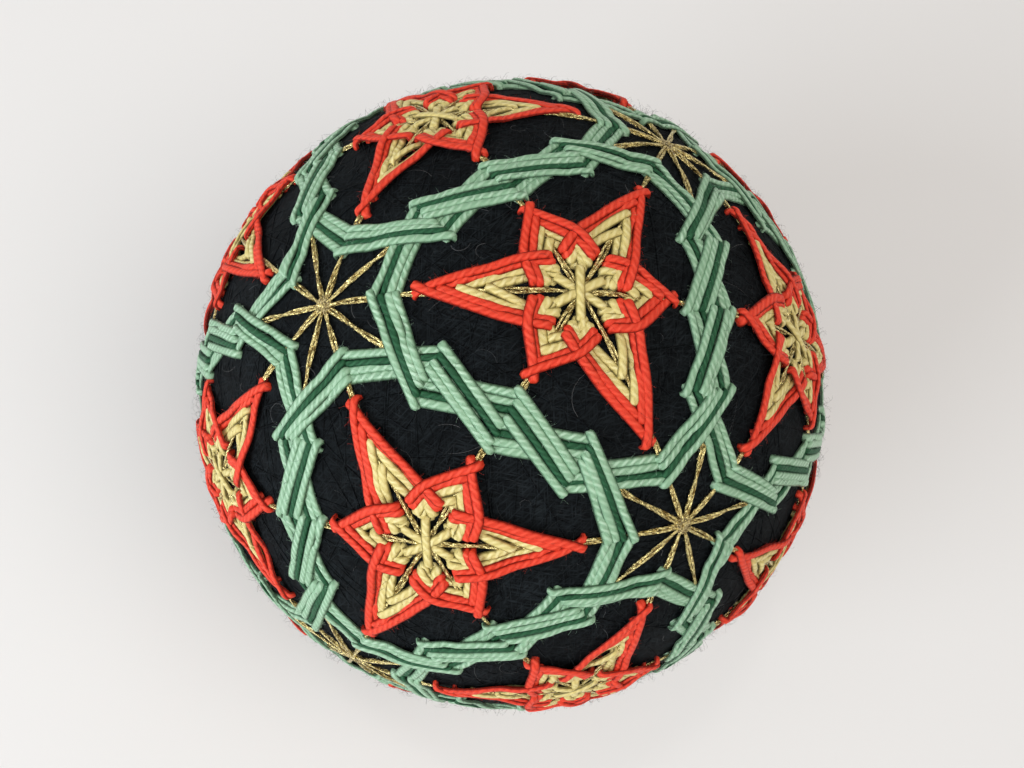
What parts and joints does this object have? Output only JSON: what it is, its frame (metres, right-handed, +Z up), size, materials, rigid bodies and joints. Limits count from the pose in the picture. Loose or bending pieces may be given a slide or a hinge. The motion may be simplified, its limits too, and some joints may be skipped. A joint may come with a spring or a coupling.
{
  "type": "temari ball",
  "caption": "Thread-wound temari ball with stitched red and yellow stars inside interlaced green rings and gold marking threads.",
  "frame": {"origin": "centre of the small flat spot the ball rests on, at the middle of its lowest star", "axes": "+Z up through the ball's centre to the centre of its highest star; -Y is the side that the picture's camera stands on"},
  "size_m": [0.0872, 0.087, 0.0865],
  "materials": {
    "black_thread": "matt wound thread",
    "red_thread": "twisted cotton",
    "yellow_thread": "twisted cotton",
    "light_green_thread": "twisted cotton",
    "dark_green_thread": "twisted cotton",
    "gold_thread": "twisted metallic thread"
  },
  "bodies": {
    "root": {"ball": "black_thread", "star_01": "red_thread", "star_02": "red_thread", "star_03": "red_thread", "star_04": "red_thread", "star_05": "red_thread", "star_06": "red_thread", "star_07": "red_thread", "star_08": "red_thread", "star_09": "red_thread", "star_10": "red_thread", "star_11": "red_thread", "star_12": "red_thread", "star_13": "red_thread", "star_14": "red_thread", "star_15": "red_thread", "star_16": "red_thread", "star_17": "red_thread", "star_18": "red_thread", "star_19": "red_thread", "star_20": "red_thread", "ring_01": "light_green_thread", "ring_02": "light_green_thread", "ring_03": "light_green_thread", "ring_04": "light_green_thread", "ring_05": "light_green_thread", "ring_06": "light_green_thread", "ring_07": "light_green_thread", "ring_08": "light_green_thread", "ring_09": "light_green_thread", "ring_10": "light_green_thread", "ring_11": "light_green_thread", "ring_12": "light_green_thread", "ring_13": "light_green_thread", "ring_14": "light_green_thread", "ring_15": "light_green_thread", "ring_16": "light_green_thread", "ring_17": "light_green_thread", "ring_18": "light_green_thread", "ring_19": "light_green_thread", "ring_20": "light_green_thread", "rosette_01": "gold_thread", "rosette_02": "gold_thread", "rosette_03": "gold_thread", "rosette_04": "gold_thread", "rosette_05": "gold_thread", "rosette_06": "gold_thread", "rosette_07": "gold_thread", "rosette_08": "gold_thread", "rosette_09": "gold_thread", "rosette_10": "gold_thread", "rosette_11": "gold_thread", "rosette_12": "gold_thread"}
  },
  "joints": []
}
